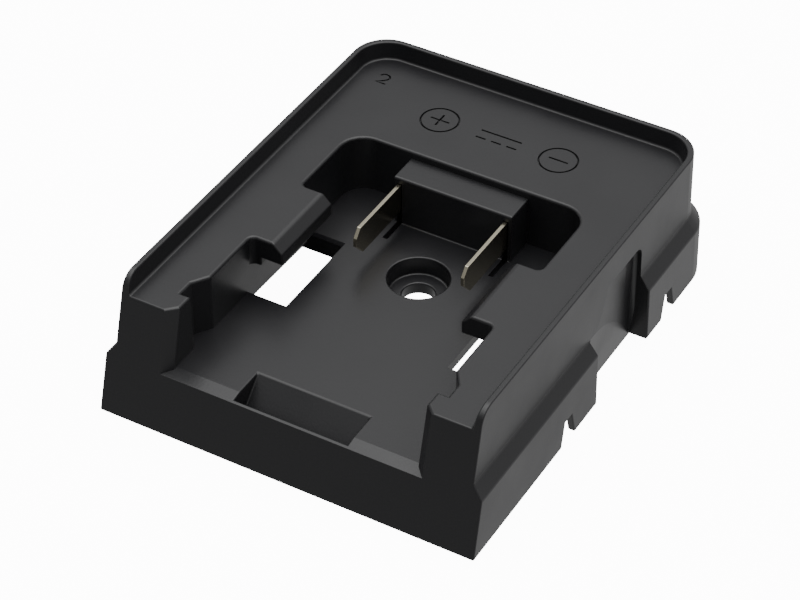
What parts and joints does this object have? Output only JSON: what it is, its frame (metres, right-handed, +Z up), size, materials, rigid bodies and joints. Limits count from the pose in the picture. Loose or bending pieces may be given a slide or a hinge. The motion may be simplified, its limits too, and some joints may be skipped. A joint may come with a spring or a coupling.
{
  "type": "battery adapter plate",
  "caption": "Black moulded adapter plate for a slide-in tool battery, with side rails, a screw hole and blade terminals marked plus and minus.",
  "frame": {"origin": "middle of the footprint, on the surface the plate stands on", "axes": "+Z up out of the bay, +Y from the open mouth towards the rear deck with the polarity marks, +X from the plus side to the minus side"},
  "size_m": [0.08, 0.1, 0.0288],
  "materials": {
    "black_plastic": "satin black ABS",
    "terminal_metal": "tin-plated brass"
  },
  "bodies": {
    "root": {"moulded_plate": "black_plastic", "positive_blade": "terminal_metal", "negative_blade": "terminal_metal"}
  },
  "joints": []
}
